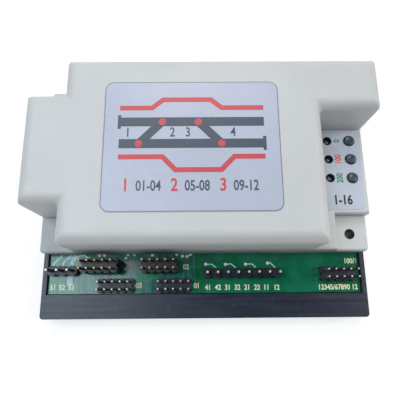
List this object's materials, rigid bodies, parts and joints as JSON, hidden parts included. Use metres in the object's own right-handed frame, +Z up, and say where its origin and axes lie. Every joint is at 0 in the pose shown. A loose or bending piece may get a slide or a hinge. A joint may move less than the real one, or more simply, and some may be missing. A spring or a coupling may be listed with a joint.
{
  "type": "model railway controller",
  "caption": "Boxed model railway controller with a stepped pale cover on a black tray, an open circuit-board strip of pin headers, indicator lamps and sprung push buttons.",
  "frame": {"origin": "centre of the footprint, on the plane of the feet", "axes": "+X to the right along the longest side, +Y to the rear, +Z up; the header strip and ledge face -Y"},
  "size_m": [0.114, 0.083, 0.0374],
  "materials": {
    "tray_plastic": "smooth black ABS",
    "cover_plastic": "off-white ABS, fine moulded texture",
    "board_green": "solder-masked glass-fibre board",
    "label_print": "printed polyester label",
    "button_plastic": "black moulded plastic",
    "lamp_resin": "dark tinted resin",
    "nylon_black": "black glass-filled nylon",
    "tin_plate": "tin-plated brass",
    "gold_plate": "gold-plated brass",
    "stamped_steel": "nickel-plated spring steel",
    "chip_black": "moulded epoxy",
    "can_sleeve": "sleeved aluminium can",
    "sink_aluminium": "extruded, black-grey anodised",
    "screw_steel": "zinc-plated steel",
    "foot_rubber": "soft matt rubber"
  },
  "bodies": {
    "housing": {"base_tray": "tray_plastic", "bridge_rectifier": "chip_black", "chip_resistors": "chip_black", "circuit_board": "board_green", "cover_screws": "screw_steel", "crystal": "stamped_steel", "driver_chip_1": "chip_black", "driver_chip_2": "chip_black", "driver_chip_3": "chip_black", "driver_chip_4": "chip_black", "driver_leads": "tin_plate", "filter_capacitor_1": "can_sleeve", "filter_capacitor_2": "can_sleeve", "heat_sink": "sink_aluminium", "heat_sink_screw": "screw_steel", "jack_contacts_1": "gold_plate", "jack_contacts_2": "gold_plate", "lamp_leads": "tin_plate", "network_jack_1": "nylon_black", "network_jack_2": "nylon_black", "output_header_base": "nylon_black", "output_header_pins": "tin_plate", "panel_label": "label_print", "power_jack": "nylon_black", "power_jack_pin": "stamped_steel", "processor": "chip_black", "processor_leads": "tin_plate", "regulator": "chip_black", "regulator_tab": "stamped_steel", "rubber_feet": "foot_rubber", "sensor_header_base": "nylon_black", "sensor_header_pins": "tin_plate", "signal_header_1_base": "nylon_black", "signal_header_1_pins": "tin_plate", "signal_header_2_base": "nylon_black", "signal_header_2_pins": "tin_plate", "signal_header_3_base": "nylon_black", "signal_header_3_pins": "gold_plate", "signal_header_4_base": "nylon_black", "signal_header_4_pins": "gold_plate", "snap_dome_1": "stamped_steel", "snap_dome_2": "stamped_steel", "snap_dome_3": "stamped_steel", "status_lamp_1": "lamp_resin", "status_lamp_2": "lamp_resin", "status_lamp_3": "lamp_resin", "switch_housing_1": "nylon_black", "switch_housing_2": "nylon_black", "switch_housing_3": "nylon_black", "switch_plate_1": "stamped_steel", "switch_plate_2": "stamped_steel", "switch_plate_3": "stamped_steel", "switch_terminals": "tin_plate", "top_cover": "cover_plastic", "top_label": "label_print", "track_header_base": "nylon_black", "track_header_pins": "tin_plate"},
    "button_1": {"push_button_1": "button_plastic"},
    "button_2": {"push_button_2": "button_plastic"},
    "button_3": {"push_button_3": "button_plastic"}
  },
  "joints": [
    {"name": "button_1_press", "type": "slide", "parent": "housing", "child": "button_1", "axis": [0, 0, -1], "range_m": [0, 0.00025], "stiffness_N_per_m": 2400, "springref_m": -0.0002},
    {"name": "button_2_press", "type": "slide", "parent": "housing", "child": "button_2", "axis": [0, 0, -1], "range_m": [0, 0.00025], "stiffness_N_per_m": 2400, "springref_m": -0.0002},
    {"name": "button_3_press", "type": "slide", "parent": "housing", "child": "button_3", "axis": [0, 0, -1], "range_m": [0, 0.00025], "stiffness_N_per_m": 2400, "springref_m": -0.0002}
  ]
}
